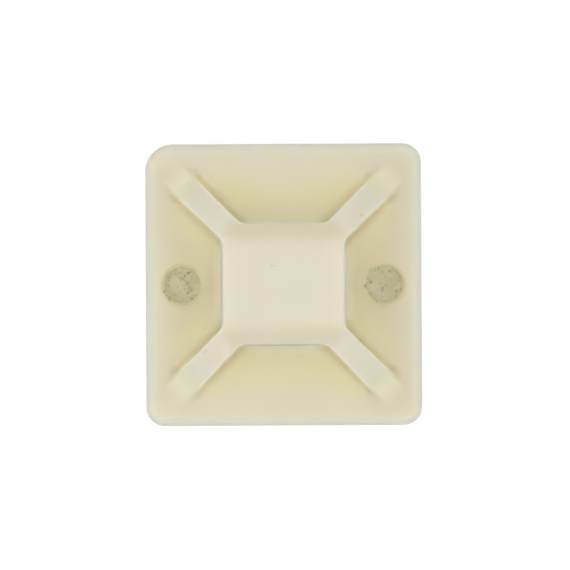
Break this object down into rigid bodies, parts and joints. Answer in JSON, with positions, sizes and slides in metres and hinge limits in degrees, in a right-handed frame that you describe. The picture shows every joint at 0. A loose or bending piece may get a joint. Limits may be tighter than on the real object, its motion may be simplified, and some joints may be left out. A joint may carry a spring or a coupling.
{
  "type": "cable tie mount",
  "caption": "Square adhesive-backed cable tie mount: a raised bridge on diagonal ribs lets a tie pass along either axis, with screw holes on the centre line.",
  "frame": {"origin": "centre of the back, on the release liner's lower face", "axes": "+Z out of the surface that the mount is fixed to, +X along the line of the two screw holes, +Y across it, along the longer side of the base"},
  "size_m": [0.0276, 0.0282, 0.0067],
  "materials": {
    "natural_nylon": "satin",
    "foam_tape": "matte",
    "liner_paper": "satin"
  },
  "bodies": {
    "root": {"mount_body": "natural_nylon", "foam_pad": "foam_tape", "release_liner": "liner_paper"}
  },
  "joints": []
}
